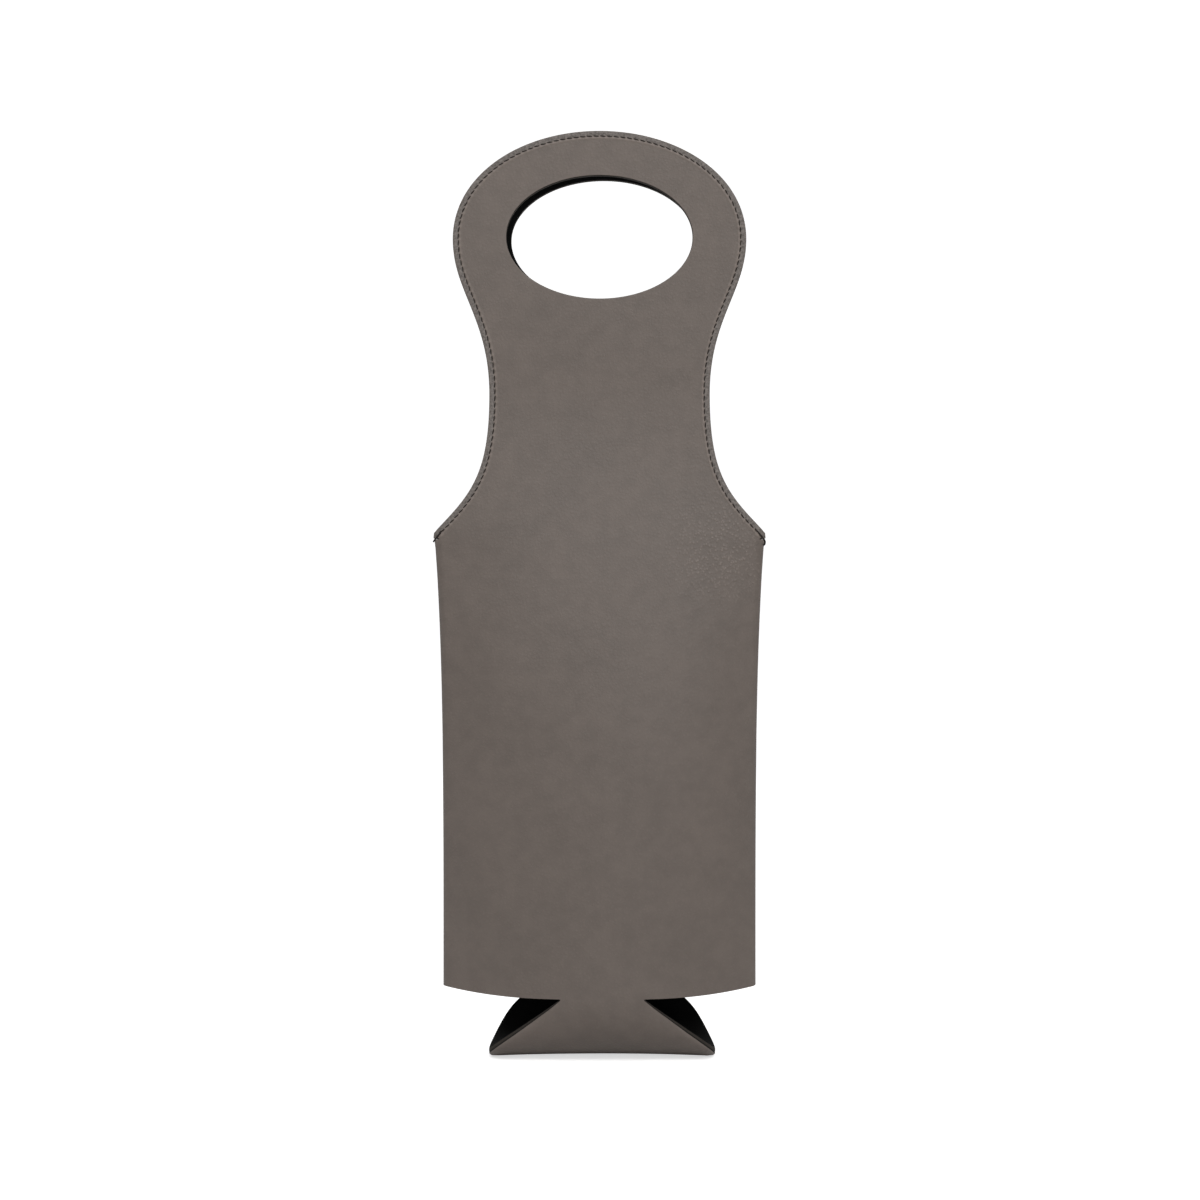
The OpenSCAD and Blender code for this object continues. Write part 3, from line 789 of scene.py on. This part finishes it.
def thread_tube(name, path, radius):
    """A thread along a smooth line through a few points, in millimetres, with rounded ends."""
    path = np.array(path, float)
    t = np.linspace(0, len(path) - 1, 8 * (len(path) - 1) + 1)
    spots = np.stack([smooth_through(path[:, k], t) for k in range(3)], axis=1)
    spots = np.concatenate([[spots[0]], spots, [spots[-1]]])
    bm = bmesh.new()
    strand = bm.verts.layers.float_vector.new("thread")
    ring = bmesh.ops.create_circle(bm, segments=8, radius=1)["verts"]
    unit = [v.co.copy() for v in ring]
    bmesh.ops.contextual_create(bm, geom=ring)
    along, last = 0, len(spots) - 1
    for i, spot in enumerate(spots):
        if i:
            ring = extrude_line(bm, ring, chain(bm, [ring[-1], *ring]))
            along += np.linalg.norm(spot - spots[i - 1])
        way = Vector(spots[min(last, i + 2)] - spots[max(0, i - 2)]).normalized()
        across = way.cross(Vector((0, 0, 1)) if abs(way.z) < 0.9 else Vector((0, 1, 0))).normalized()
        above = across.cross(way)
        r = radius * (0.45 if i in (0, last) else 1)
        for v, c in zip(ring, unit):
            v.co = Vector(spot) + (across * c.x + above * c.y) * r
            v[strand] = (along * MM, c.x, c.y)
    bmesh.ops.contextual_create(bm, geom=ring)
    bmesh.ops.recalc_face_normals(bm, faces=bm.faces)
    bmesh.ops.scale(bm, vec=(MM, MM, MM), verts=bm.verts)
    return piece(name, mesh_of(name, bm))


def smooth_through(values, t):
    """A smooth line through values at 0, 1, 2 and so on."""
    padded = np.concatenate([[2 * values[0] - values[1]], values, [2 * values[-1] - values[-2]]])
    k = np.minimum(t.astype(int), len(values) - 2)
    f = t - k
    a, b, c, d = (padded[k + i] for i in range(4))
    return b + f / 2 * (c - a + f * (2 * a - 5 * b + 4 * c - d + f * (3 * (b - c) + d - a)))


# Materials


class Output:
    """A node's output, which adds and multiplies like a number."""

    def __init__(self, finish, socket):
        self.finish, self.socket = finish, socket

    def __add__(self, other):
        return self.finish.math("ADD", self, other)

    def __sub__(self, other):
        return self.finish.math("SUBTRACT", self, other)

    def __mul__(self, other):
        return self.finish.math("MULTIPLY", self, other)

    def __truediv__(self, other):
        return self.finish.math("DIVIDE", self, other)


class Finish:
    """A material and short ways to add nodes to it. Cells and spots are given in metres across."""

    def __init__(self, name):
        self.material = bpy.data.materials.new(name)
        self.material.use_nodes = True
        self.tree = self.material.node_tree
        self.shader = self.tree.nodes["Principled BSDF"]

    def feed(self, value, socket):
        """An output is linked to the socket, and a plain value is set on it."""
        if isinstance(value, Output):
            self.tree.links.new(value.socket, socket)
        else:
            socket.default_value = value

    def add(self, kind, output, inputs, **settings):
        """Adds a node with its settings and inputs, and gives one of its outputs."""
        node = self.tree.nodes.new(kind)
        for key, value in settings.items():
            setattr(node, key, value)
        for key, value in inputs.items():
            self.feed(value, node.inputs[key])
        return Output(self, node.outputs[output])

    def math(self, operation, *values, clamp=False):
        inputs = dict(enumerate(values))
        return self.add("ShaderNodeMath", 0, inputs, operation=operation, use_clamp=clamp)

    def vector_math(self, operation, a, b, output=0):
        inputs = {0: a, "Scale" if operation == "SCALE" else 1: b}
        return self.add("ShaderNodeVectorMath", output, inputs, operation=operation)

    def between(self, value, low, high, out_low=0.0, out_high=1.0):
        """value carried smoothly from low..high to out_low..out_high, and no further."""
        keys = ("Value", "From Min", "From Max", "To Min", "To Max")
        inputs = dict(zip(keys, (value, low, high, out_low, out_high)))
        return self.add("ShaderNodeMapRange", "Result", inputs, interpolation_type="SMOOTHSTEP")

    def mix(self, share, a, b):
        """Colour a where share is 0, and b where it is 1."""
        return self.add("ShaderNodeMix", 2, {0: share, 6: a, 7: b}, data_type="RGBA")

    def shades(self, share, colour, dark, light):
        """A colour from dark to light times its own level."""
        return self.mix(share, rgba(colour, dark), rgba(colour, light))

    def attribute(self, name, output="Fac"):
        return self.add("ShaderNodeAttribute", output, {}, attribute_name=name)

    def object_place(self):
        return self.add("ShaderNodeTexCoord", "Object", {})

    def parts(self, vector):
        node = self.tree.nodes.new("ShaderNodeSeparateXYZ")
        self.feed(vector, node.inputs[0])
        return [Output(self, socket) for socket in node.outputs]

    def noise(self, vector, spot, detail=3.0, rough=0.5, output="Fac"):
        inputs = {"Vector": vector, "Scale": 1 / spot, "Detail": detail, "Roughness": rough}
        return self.add("ShaderNodeTexNoise", output, inputs)

    def cells(self, vector, cell, feature="F1"):
        """Distance from the middles of a pattern of cells, or from their borders."""
        inputs = {"Vector": vector, "Scale": 1 / cell}
        return self.add("ShaderNodeTexVoronoi", "Distance", inputs, feature=feature)

    def shifted(self, vector, spot, amount):
        """vector moved about by a noise, so that a pattern on it is less regular."""
        colour = self.noise(vector, spot, detail=2.0, output="Color")
        centred = self.vector_math("SUBTRACT", colour, (0.5, 0.5, 0.5))
        return self.vector_math("ADD", vector, self.vector_math("SCALE", centred, amount))

    def bump(self, height, distance):
        inputs = {"Height": height, "Distance": distance, "Strength": 1.0}
        self.set(Normal=self.add("ShaderNodeBump", "Normal", inputs))

    def set(self, **values):
        for key, value in values.items():
            self.feed(value, self.shader.inputs[key.replace("_", " ")])


def rgba(value, factor=1.0):
    return (*(c * factor for c in value), 1.0)


def leather_finish(colours):
    """Fine pebbled leather-look coating. Outside the stitching it is flat, greyer and rougher, and
    every cut edge is a little paler. A highlight is painted pale beside the needle holes and along the
    ridge inside the stitching, and pale glints are painted on the grain's tops, faintly all over and
    strongly at the right shoulder."""
    glint_middle, cell = (0.050, 0.212, 0), 0.0013
    pale = colours.leather_light
    f = Finish("leather_look_face")
    place = f.attribute("blank", "Vector")
    band = f.between(f.attribute("edge"), 0.0019, 0.0024, 1.0, 0.0)
    near_cut_edge = f.between(f.attribute("rim"), 0.0002, 0.0011, 1.0, 0.0)
    # The right shoulder, where the grain's glints are painted and its pebbles stand higher.
    from_glint_middle = f.vector_math("DISTANCE", place, glint_middle, "Value")
    glint_patch = f.between(from_glint_middle + f.noise(place, 0.01) * 0.01, 0.010, 0.034, 1.0, 0.0)

    pebble = f.between(f.cells(f.shifted(place, 0.003, 0.0005), cell), 0.08, 0.72, 1.0, 0.0)
    creases = f.cells(f.shifted(place, 0.001, 0.0003), 0.0007, "DISTANCE_TO_EDGE")
    height = pebble * (glint_patch * 0.5 + 0.45) + f.between(creases, 0.0, 0.25) * 0.15
    height = height + f.noise(place, 0.0003, 2.0) * 0.2
    f.bump(height * f.between(band, 0.0, 1.0, 1.0, 0.6), 0.0001)

    cloud = f.noise(place, 0.030)
    smudge = f.between(f.noise(place, 0.007, 4.0, 0.6), 0.3, 0.7)
    light = f.between(cloud, 0.25, 0.75) * 0.4 + smudge * 0.45 + 0.05
    tone = f.mix(light, rgba(colours.leather), rgba(pale))
    # Painted highlight: pebble tops are painted paler as glints, faintly all over and strongly at the
    # right shoulder.
    grain_tops_and_glints = f.between(f.cells(f.shifted(place, 0.002, 0.0006), cell), 0.12, 0.42, 1.0, 0.0)
    tone = f.mix(grain_tops_and_glints * (glint_patch * 0.42 + 0.08), tone, rgba(pale, 1.6))
    fuzz = f.between(f.noise(place, 0.0011, 3.0, 0.7), 0.3, 0.7)
    tone = f.mix(band * 0.85, tone, f.shades(fuzz, colours.edge_band, 0.5, 1.6))
    # A little paler within about a millimetre of every cut edge.
    tone = f.mix(near_cut_edge * 0.15, tone, rgba(pale, 1.25))
    # Painted highlight: pale on the puckered ridge inside the stitching and at the needle holes.
    tone = f.mix(f.attribute("stretch") * 0.6, tone, rgba(pale, 1.7))
    f.set(Base_Color=tone, Roughness=f.between(cloud, 0.3, 0.7, 0.46, 0.52) + band * 0.2, IOR=1.46)
    return f.material


def backing_finish(colours):
    """Cut side and back of the coated face: dark, fibrous."""
    f = Finish("face_backing")
    fibre = f.noise(f.object_place(), 0.0004, 4.0, 0.65)
    f.set(Base_Color=f.shades(fibre, colours.foam, 0.1, 0.7), Roughness=0.9, Specular_IOR_Level=0.25)
    f.bump(fibre, 0.00008)
    return f.material


def foam_finish(colours):
    """Cut foam with open pores, and a dark line of glue under each skin."""
    f = Finish("cut_foam")
    place = f.object_place()
    depth = f.parts(f.attribute("blank", "Vector"))[2]
    pores = f.between(f.cells(f.shifted(place, 0.001, 0.0004), 0.00038), 0.05, 0.5)
    cloud = f.noise(place, 0.004)
    # Painted shade: each pore is darker towards its middle.
    tone = f.shades(pores, colours.foam, 0.45, 1.25)
    tone = f.mix(cloud * 0.4, tone, rgba(colours.foam, 1.5))
    under_face = f.between(depth, 0.00098, 0.00122, 1.0, 0.0)
    glue = f.math("ADD", under_face, f.between(depth, 0.00318, 0.00332), clamp=True)
    tone = f.mix(glue, tone, rgba(colours.lining))
    f.set(Base_Color=tone, Roughness=0.92, Specular_IOR_Level=0.25)
    f.bump(pores + cloud * 0.5, 0.00012)
    return f.material


def knit_finish(colours):
    """Black jersey knit: rows of small V stitches."""
    column_w, row_h = 0.00105, 0.00078
    f = Finish("black_knit")
    place = f.shifted(f.attribute("blank", "Vector"), 0.006, 0.0004)
    across, up, _ = f.parts(place)
    column = f.math("FRACT", across / column_w)
    row = up / row_h + f.math("ABSOLUTE", column - 0.5) * 1.3
    loop = f.math("ABSOLUTE", f.math("SINE", row * math.pi))
    leg = f.math("SINE", f.math("FRACT", column * 2.0) * math.pi)
    stitch = f.between(loop, 0.0, 0.8) * f.between(leg, 0.0, 0.8)
    # Painted shade: darker in the gaps between the loops, paler on them.
    f.set(Base_Color=f.shades(stitch, colours.lining, 0.4, 1.7), Roughness=0.95)
    f.set(Specular_IOR_Level=0.12, Sheen_Weight=0.015, Sheen_Roughness=0.4)
    f.bump(stitch + f.noise(place, 0.0003, 2.0) * 0.3, 0.0002)
    return f.material


def thread_finish(colours, name, twist):
    """Twisted thread: fine ridges that wind round it once in a twist."""
    f = Finish(name)
    along, beside, above = f.parts(f.attribute("thread", "Vector"))
    turn = along * (2 * math.pi / twist)
    wind = f.math("SINE", turn) * beside + f.math("COSINE", turn) * above
    ridge = f.between(f.math("ABSOLUTE", wind), 0.0, 0.8)
    fibre = f.noise(f.object_place(), 0.00025, 2.0)
    # Painted shade: the grooves between the plies are darker and the crests paler.
    tone = f.shades(ridge, colours.thread, 0.35, 1.3)
    f.set(Base_Color=f.mix(fibre * 0.3, tone, rgba(colours.thread, 2.0)), Roughness=0.7)
    f.set(Specular_IOR_Level=0.3, Sheen_Weight=0.03, Sheen_Roughness=0.4)
    f.bump(ridge + fibre * 0.4, 0.00008)
    return f.material


def floor_finish(colours):
    """Plain white floor. It keeps the carrier's shadow and shows white to the camera elsewhere."""
    f = Finish("plain_floor")
    paper = f.noise(f.object_place(), 0.3, 2.0)
    f.set(Base_Color=f.shades(paper, colours.floor, 0.985, 1.0), Roughness=0.9, Specular_IOR_Level=0.1)
    seen = f.add("ShaderNodeLightPath", "Is Camera Ray", {})
    f.set(Emission_Color=(1.0, 1.0, 1.0, 1.0), Emission_Strength=seen * 0.62)
    return f.material


# Pieces


def across_fold(obj, side):
    """Works out where the laminate bends between the sleeve and its handle, and bakes the piece's
    placing into its mesh; the piece itself is not bent.
    """
    form = side.form
    start_z, hinge_z, end_z = (form.seam_top_z + above for above in form.fold_heights)
    y = side.out * float(form.half_depth(hinge_z)) * MM
    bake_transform(obj)


def hand_over(obj, materials, slot, *solids):
    """Gives a piece its materials and hides the solids that it replaces; its slot is not used."""
    for material in materials:
        obj.data.materials.append(material)
    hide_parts(*solids)


def build_layer(scene, layer, solid, depth, thickness, finishes, rounding, wall_cuts=0, bulge=0):
    """One layer of the laminate on both sides, with its top at a depth below the face. Its pieces
    replace the solids of that layer."""
    for side in both_sides(scene):
        form = side.form
        bm = flat_layer(side, thickness, wall_cuts, bulge, rounding)
        bmesh.ops.translate(bm, verts=bm.verts, vec=(0, 0, -depth))
        obj = formed_piece(f"{side.name}_{layer}", bm, side, near_edges=depth == 0)
        parts = [f"{side.name}_body", f"{side.name}_handle", *(["base"] if side.front else [])]
        hand_over(obj, finishes, layer, *(f"{part}_{solid}" for part in parts))
        if layer == "foam_core":
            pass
        else:
            size = (2 * float(form.side_run(form.bottom_z)) * MM, (form.overall_h - side.joint_v) * MM)
        across_fold(obj, side)


class CARRIER_OT_faces(bpy.types.Operator):
    """Coated faces of the front with the base, and of the back"""

    bl_idname = "carrier.faces"
    bl_label = "Leather-look faces"

    def execute(self, context):
        sizes, colours = context.scene.carrier_sizes, context.scene.carrier_colours
        finishes = [leather_finish(colours), backing_finish(colours)]
        build_layer(context.scene, "leather_face", "face", 0, sizes.face_t / MM, finishes, rounding=0.3)
        return {"FINISHED"}


class CARRIER_OT_foam_cores(bpy.types.Operator):
    """Foam cores, whose cut edges bulge a little between the two skins"""

    bl_idname = "carrier.foam_cores"
    bl_label = "Foam cores"

    def execute(self, context):
        sizes, colours = context.scene.carrier_sizes, context.scene.carrier_colours
        depth, finishes = sizes.face_t / MM, [foam_finish(colours)] * 2
        build_layer(context.scene, "foam_core", "core", depth, sizes.core_t / MM, finishes,
                    rounding=0.16, wall_cuts=3, bulge=0.1)
        return {"FINISHED"}


class CARRIER_OT_linings(bpy.types.Operator):
    """Knitted linings"""

    bl_idname = "carrier.linings"
    bl_label = "Knit linings"

    def execute(self, context):
        sizes, colours = context.scene.carrier_sizes, context.scene.carrier_colours
        depth, finishes = (sizes.face_t + sizes.core_t) / MM, [knit_finish(colours)] * 2
        build_layer(context.scene, "knit_lining", "lining", depth, sizes.lining_t / MM, finishes,
                    rounding=0.14)
        return {"FINISHED"}


class CARRIER_OT_edge_stitching(bpy.types.Operator):
    """Rows of stitches along the edges of the handles and shoulders"""

    bl_idname = "carrier.edge_stitching"
    bl_label = "Edge stitching"

    slant = math.radians(7)
    face_lift, lining_lift = 0.12, 0.08

    def execute(self, context):
        stitching = context.scene.carrier_stitching
        thread = thread_finish(context.scene.carrier_colours, "edge_thread", 0.0011)
        shape = stitch_shape(stitching.stitch_len / MM, stitching.thread_d / 2 / MM)
        for side in both_sides(context.scene):
            edge, under, places = side.edge, -side.form.sheet_t - self.lining_lift, []
            for i in range(edge.stitches):
                (u, v), angle = edge.at((i + 0.5) * edge.pitch)
                for hand in (1, -1):
                    turn = hand * angle + self.slant
                    places.append((hand * u, v, turn, self.face_lift, True))
                    places.append((hand * u, v, turn, under, False))
            obj = lay_stitches(f"{side.name}_edge_stitches", shape, places, side)
            solids = f"{side.name}_handle_stitching", f"{side.name}_shoulder_stitching"
            hand_over(obj, [thread], "edge_thread", *solids)
            across_fold(obj, side)
        return {"FINISHED"}


class CARRIER_OT_seam_stitching(bpy.types.Operator):
    """Stitches of the two side seams, on the allowances inside the sleeve"""

    bl_idname = "carrier.seam_stitching"
    bl_label = "Seam stitching"

    first_above, last_below = 2.5, 2
    slant, lift = 0.06, 0.06

    def execute(self, context):
        stitching = context.scene.carrier_stitching
        thread = thread_finish(context.scene.carrier_colours, "seam_thread", 0.0013)
        pitch = stitching.seam_pitch / MM
        shape = stitch_shape(pitch * 0.8, stitching.thread_d / 2 / MM)
        for hand, name in ((-1, "left"), (1, "right")):
            parts = []
            for side in both_sides(context.scene):
                form, places = side.form, []
                low, high = form.bottom_z + self.first_above, form.seam_top_z - self.last_below
                for v in np.arange(low, high, pitch):
                    u = float(form.side_run(v)) - form.seam_allowance / 2
                    places.append((hand * u, v, self.slant, -form.sheet_t - self.lift, False))
                parts.append(lay_stitches(f"{name}_seam_{side.name}", shape, places, side))
            obj = joined(f"{name}_seam_stitches", parts)
            hand_over(obj, [thread], "seam_thread", f"{name}_seam_stitching")
            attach(obj, "sleeve")
        return {"FINISHED"}


def joined(name, objects):
    """One piece of several, with their attributes."""
    bm = bmesh.new()
    for obj in objects:
        bm.from_mesh(obj.data)
        bpy.data.objects.remove(obj)
    return piece(name, mesh_of(name, bm))


class CARRIER_OT_thread_ends(bpy.types.Operator):
    """Ends of the edge thread: a cut tail at the left shoulder and a small loop at the right"""

    bl_idname = "carrier.thread_ends"
    bl_label = "Thread ends"

    # Places on the rolled edge: turn round it, drop below the seam's top and lift above the face.
    over_edge = (1.1, 0.2, 0.2)
    loop = (over_edge, (1.4, 0.9, 0.25), (1.5, 1.7, 0.25), (1.3, 2.4, 0.1), (1.1, 2.6, -0.3))
    tail = (over_edge, (1.35, 0.7, 0.25), (1.5, 1.1, 0.5))
    two_threads = 1.7

    def execute(self, context):
        stitching = context.scene.carrier_stitching
        thread = thread_finish(context.scene.carrier_colours, "end_thread", 0.0011)
        front = both_sides(context.scene)[0]
        form, edge = front.form, front.edge
        nose_x = float(form.roll_x(form.seam_top_z))
        last = edge.stitches * edge.pitch - (edge.pitch - edge.stitch_len) / 2

        def on_face(way, lift):
            (u, v), _ = edge.at(way)
            return front.relief.carry(np.array([u]), np.array([v]), np.array([-lift]))[0][0] / MM

        def on_roll(turn, drop, lift):
            r, z = form.nose_r + lift, form.seam_top_z - drop
            return nose_x + r * math.sin(turn), -form.nose_r - r * math.cos(turn), z

        start = [on_face(last, -0.3), on_face(last + 0.5, 0.15)]
        ends = ("right_thread_loop", "right", 1, self.loop), ("left_thread_tail", "left", -1, self.tail)
        for name, hand, way, places in ends:
            path = [(way * x, y, z) for x, y, z in [*start, *(on_roll(*place) for place in places)]]
            obj = thread_tube(name, path, stitching.thread_d / 2 / MM * self.two_threads)
            hand_over(obj, [thread], "edge_thread", f"{hand}_thread_end")
            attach(obj, "sleeve")
        return {"FINISHED"}


class CARRIER_OT_stage(bpy.types.Operator):
    """Camera, white floor with a curved back, and soft studio light"""

    bl_idname = "carrier.stage"
    bl_label = "Stage"

    aim, low_aim = (0, 0, 0.24), (0, 0, -0.03)
    # Name, place, the spot it aims at, width, height, watts and spread in degrees.
    lamps = (
        ("front_softbox", (0.0, -1.15, 1.15), aim, 2.4, 0.5, 13.8, 180),
        ("right_lamp", (0.66, -1.46, 0.85), aim, 0.2, 0.2, 3, 180),
        ("base_fill", (0.0, -0.9, 0.05), low_aim, 0.4, 0.1, 0.008, 14),
        ("back_softbox", (0.0, 1.15, 1.15), aim, 2.4, 0.5, 8, 180),
    )
    surround_level = 0.5

    def execute(self, context):
        scene, stage = context.scene, context.scene.carrier_stage
        camera = bpy.data.objects.new("camera", bpy.data.cameras.new("camera"))
        camera.location = (stage.aside, -stage.distance, stage.height)
        camera.rotation_euler = (math.pi / 2, 0, 0)
        camera.data.lens = camera.data.sensor_width * stage.distance / stage.picture_w
        camera.data.clip_start = 0.01
        scene.collection.objects.link(camera)
        scene.camera = camera
        floor = self.floor(scene)
        floor.data.materials.append(floor_finish(scene.carrier_colours))
        self.lights(scene)
        self.surroundings(scene)
        scene.view_settings.view_transform = "Standard"
        return {"FINISHED"}

    def floor(self, scene):
        """A floor that curves up into a backdrop."""
        reach, bend_y, bend_r, top = 4, 2.2, 1.2, 5
        bm = bmesh.new()
        rail = [bm.edges.new(draw(bm, [(-reach, -reach), (reach, -reach)]))]
        turns = np.linspace(0.13, math.pi / 2, 12)
        bend = [(bend_y + bend_r * math.sin(t), bend_r - bend_r * math.cos(t)) for t in turns]
        place = (-reach, 0)
        for y, z in [(bend_y, 0), *bend, (bend_y + bend_r, top)]:
            made = bmesh.ops.extrude_edge_only(bm, edges=rail)["geom"]
            rail = [e for e in made if isinstance(e, bmesh.types.BMEdge)]
            fresh = [v for v in made if isinstance(v, bmesh.types.BMVert)]
            bmesh.ops.translate(bm, verts=fresh, vec=(0, y - place[0], z - place[1]))
            place = (y, z)
        bmesh.ops.recalc_face_normals(bm, faces=bm.faces)
        mesh = mesh_of("floor", bm)
        mesh.shade_smooth()
        floor = bpy.data.objects.new("floor", mesh)
        scene.collection.objects.link(floor)
        return floor

    def lights(self, scene):
        """A wide soft light from the upper front and a dimmer one from the upper back, a small lamp at
        the right, and a narrow fill on the base."""
        for name, place, target, width, height, power, spread in self.lamps:
            light = bpy.data.lights.new(name, "AREA")
            light.shape, light.size, light.size_y, light.energy = "RECTANGLE", width, height, power
            light.spread = math.radians(spread)
            obj = bpy.data.objects.new(name, light)
            obj.visible_camera = False
            obj.location = place
            obj.rotation_euler = (Vector(target) - Vector(place)).to_track_quat("-Z", "Y").to_euler()
            scene.collection.objects.link(obj)

    def surroundings(self, scene):
        """Even white all round, which the camera sees at full level and the carrier at half of it."""
        world = bpy.data.worlds.new("studio")
        world.use_nodes = True
        scene.world = world
        nodes, links = world.node_tree.nodes, world.node_tree.links
        background = nodes["Background"]
        background.inputs["Color"].default_value = (1, 1, 1, 1)
        seen = nodes.new("ShaderNodeLightPath")
        level = nodes.new("ShaderNodeMapRange")
        level.inputs["To Min"].default_value = self.surround_level
        level.inputs["To Max"].default_value = 1.0
        links.new(seen.outputs["Is Camera Ray"], level.inputs["Value"])
        links.new(level.outputs["Result"], background.inputs["Strength"])


class CARRIER_PT_panel(bpy.types.Panel):
    """Sizes, colours and steps of the carrier"""

    bl_idname = "CARRIER_PT_panel"
    bl_label = "Bottle carrier"
    bl_space_type = "VIEW_3D"
    bl_region_type = "UI"
    bl_category = "Carrier"

    def draw(self, context):
        for title, group in GROUPS.items():
            box = self.layout.box()
            box.label(text=title.replace("carrier_", "").capitalize())
            for name in group.__annotations__:
                box.prop(getattr(context.scene, title), name)
        for step in STEPS:
            self.layout.operator(step.bl_idname)


GROUPS = {
    "carrier_sizes": CarrierSizes,
    "carrier_stitching": CarrierStitching,
    "carrier_colours": CarrierColours,
    "carrier_stage": CarrierStage,
}
STEPS = (
    CARRIER_OT_faces,
    CARRIER_OT_foam_cores,
    CARRIER_OT_linings,
    CARRIER_OT_edge_stitching,
    CARRIER_OT_seam_stitching,
    CARRIER_OT_thread_ends,
    CARRIER_OT_stage,
)


def register():
    for cls in (*GROUPS.values(), *STEPS, CARRIER_PT_panel):
        bpy.utils.register_class(cls)
    for name, group in GROUPS.items():
        setattr(bpy.types.Scene, name, bpy.props.PointerProperty(type=group))


def unregister():
    for name in GROUPS:
        delattr(bpy.types.Scene, name)
    for cls in reversed((*GROUPS.values(), *STEPS, CARRIER_PT_panel)):
        bpy.utils.unregister_class(cls)


def main():
    register()
    for step in STEPS:
        group, name = step.bl_idname.split(".")
        getattr(getattr(bpy.ops, group), name)()


if __name__ == "__main__":
    main()
